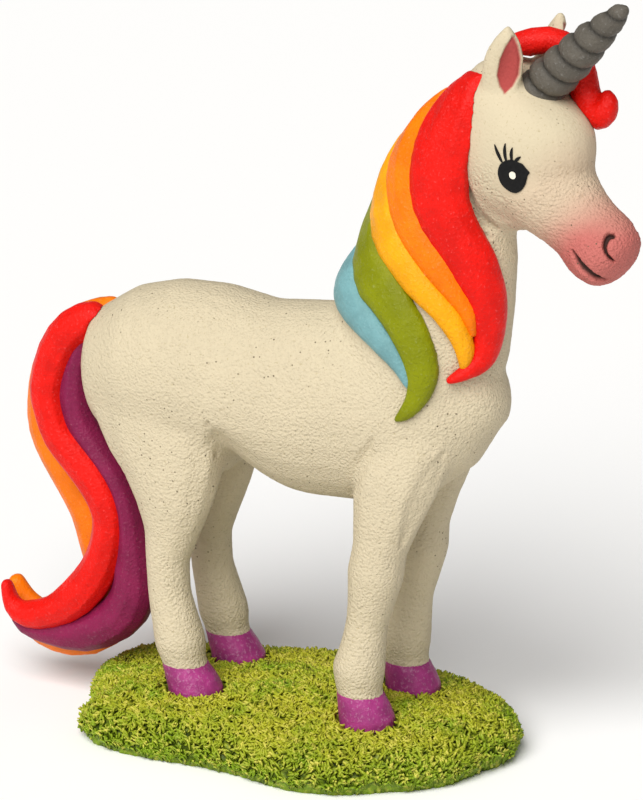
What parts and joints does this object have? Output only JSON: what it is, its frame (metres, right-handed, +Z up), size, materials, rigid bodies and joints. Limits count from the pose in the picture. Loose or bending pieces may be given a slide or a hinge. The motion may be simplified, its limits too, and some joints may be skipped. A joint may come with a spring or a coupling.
{
  "type": "aquarium ornament",
  "caption": "Cast resin unicorn figurine with a rainbow mane and curled tail, standing on a flat-bottomed grass base to rest on an aquarium floor or a shelf.",
  "frame": {"origin": "on the flat underside of the base, midway between the four hooves", "axes": "+X the way the unicorn faces, +Y to its left, +Z up from the underside"},
  "size_m": [0.1333, 0.0539, 0.1494],
  "materials": {
    "coat": "matt cream paint over a sandy cast grain, pink at the muzzle and rose in the ears",
    "grass": "matt green paint, dry-brushed with yellow",
    "purple": "satin paint",
    "horn_grey": "matt paint",
    "red": "satin paint",
    "orange": "satin paint",
    "yellow": "satin paint",
    "green": "satin paint",
    "blue": "satin paint",
    "eye_black": "gloss paint"
  },
  "bodies": {
    "root": {"body": "coat", "head": "coat", "grass_base": "grass", "hoof_front_right": "purple", "hoof_front_left": "purple", "hoof_rear_right": "purple", "hoof_rear_left": "purple", "horn": "horn_grey", "forelock": "red", "mane_red": "red", "mane_orange": "orange", "mane_yellow": "yellow", "mane_green": "green", "mane_blue": "blue", "tail_red": "red", "tail_purple": "purple", "tail_orange": "orange", "eye_right": "eye_black", "eye_left": "eye_black"}
  },
  "joints": []
}
